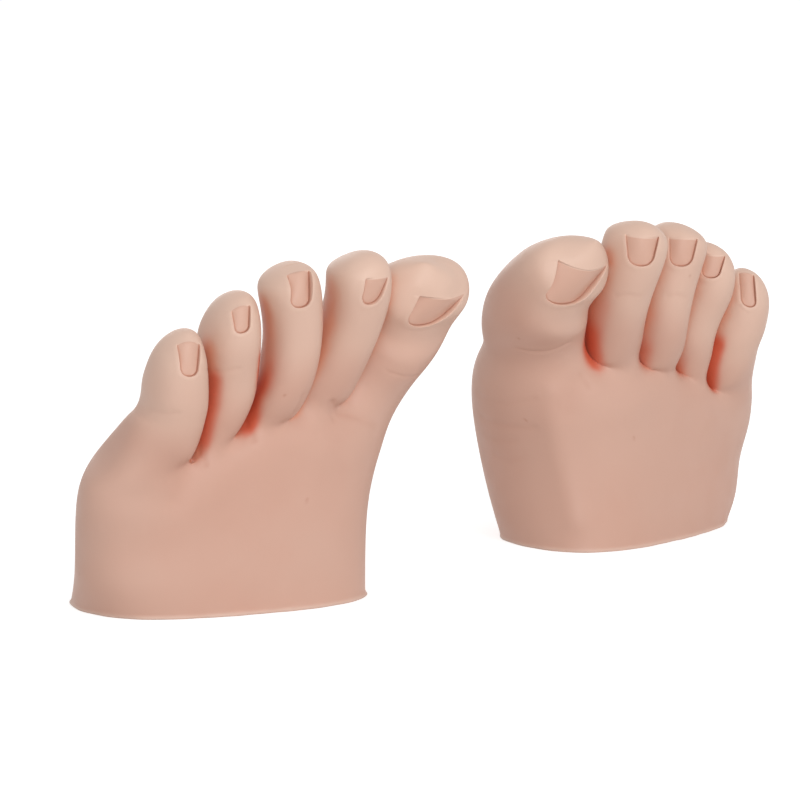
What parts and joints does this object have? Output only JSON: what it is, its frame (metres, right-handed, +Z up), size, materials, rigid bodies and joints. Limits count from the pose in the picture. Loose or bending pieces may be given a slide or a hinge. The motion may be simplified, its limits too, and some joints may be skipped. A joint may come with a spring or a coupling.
{
  "type": "nail practice foot",
  "caption": "Pair of soft silicone practice forefeet that stand on a flat cut face, with bendable wired toes and a sunk nail bed and slot on each toe.",
  "frame": {"origin": "middle of the pair's bounding box, on the surface that both feet stand on", "axes": "+Z up, from the cut faces to the toes; +X to the viewer's right in the displayed pose; -Y towards the viewer, who sees the nails"},
  "size_m": [0.1815, 0.1671, 0.0888],
  "materials": {
    "skin": "soft matte silicone, flesh coloured",
    "core": "pale rigid foam",
    "plate": "matt beige",
    "wire": "soft drawn wire"
  },
  "bodies": {
    "feet": {"left_forefoot_skin": "skin", "left_core": "core", "left_base_plate": "plate", "left_big_toe_wire": "wire", "left_second_toe_wire": "wire", "left_third_toe_wire": "wire", "left_fourth_toe_wire": "wire", "left_little_toe_wire": "wire", "right_forefoot_skin": "skin", "right_core": "core", "right_base_plate": "plate", "right_big_toe_wire": "wire", "right_second_toe_wire": "wire", "right_third_toe_wire": "wire", "right_fourth_toe_wire": "wire", "right_little_toe_wire": "wire"},
    "left_big_toe": {"left_big_toe": "skin"},
    "left_second_toe": {"left_second_toe": "skin"},
    "left_third_toe": {"left_third_toe": "skin"},
    "left_fourth_toe": {"left_fourth_toe": "skin"},
    "left_little_toe": {"left_little_toe": "skin"},
    "right_big_toe": {"right_big_toe": "skin"},
    "right_second_toe": {"right_second_toe": "skin"},
    "right_third_toe": {"right_third_toe": "skin"},
    "right_fourth_toe": {"right_fourth_toe": "skin"},
    "right_little_toe": {"right_little_toe": "skin"}
  },
  "joints": [
    {"name": "left_big_toe_bend", "type": "hinge", "parent": "feet", "child": "left_big_toe", "pos_m": [-0.0194, -0.03114, 0.051], "axis": [0.8788, 0.4772, 0], "range_deg": [-12, 12], "deforming": ["left_big_toe_wire"]},
    {"name": "left_second_toe_bend", "type": "hinge", "parent": "feet", "child": "left_second_toe", "pos_m": [-0.03118, -0.0455, 0.0485], "axis": [0.8788, 0.4772, 0], "range_deg": [-12, 12], "deforming": ["left_second_toe_wire"]},
    {"name": "left_third_toe_bend", "type": "hinge", "parent": "feet", "child": "left_third_toe", "pos_m": [-0.04366, -0.05228, 0.047], "axis": [0.8788, 0.4772, 0], "range_deg": [-12, 12], "deforming": ["left_third_toe_wire"]},
    {"name": "left_fourth_toe_bend", "type": "hinge", "parent": "feet", "child": "left_fourth_toe", "pos_m": [-0.05526, -0.05858, 0.043], "axis": [0.8788, 0.4772, 0], "range_deg": [-12, 12], "deforming": ["left_fourth_toe_wire"]},
    {"name": "left_little_toe_bend", "type": "hinge", "parent": "feet", "child": "left_little_toe", "pos_m": [-0.06902, -0.06718, 0.0395], "axis": [0.8788, 0.4772, 0], "range_deg": [-12, 12], "deforming": ["left_little_toe_wire"]},
    {"name": "right_big_toe_bend", "type": "hinge", "parent": "feet", "child": "right_big_toe", "pos_m": [0.028, 0.01992, 0.051], "axis": [0.7193, 0.6947, 0], "range_deg": [-12, 12], "deforming": ["right_big_toe_wire"]},
    {"name": "right_second_toe_bend", "type": "hinge", "parent": "feet", "child": "right_second_toe", "pos_m": [0.04524, 0.02684, 0.0485], "axis": [0.7193, 0.6947, 0], "range_deg": [-12, 12], "deforming": ["right_second_toe_wire"]},
    {"name": "right_third_toe_bend", "type": "hinge", "parent": "feet", "child": "right_third_toe", "pos_m": [0.05545, 0.0367, 0.047], "axis": [0.7193, 0.6947, 0], "range_deg": [-12, 12], "deforming": ["right_third_toe_wire"]},
    {"name": "right_fourth_toe_bend", "type": "hinge", "parent": "feet", "child": "right_fourth_toe", "pos_m": [0.06495, 0.04587, 0.043], "axis": [0.7193, 0.6947, 0], "range_deg": [-12, 12], "deforming": ["right_fourth_toe_wire"]},
    {"name": "right_little_toe_bend", "type": "hinge", "parent": "feet", "child": "right_little_toe", "pos_m": [0.0773, 0.0564, 0.0395], "axis": [0.7193, 0.6947, 0], "range_deg": [-12, 12], "deforming": ["right_little_toe_wire"]}
  ]
}
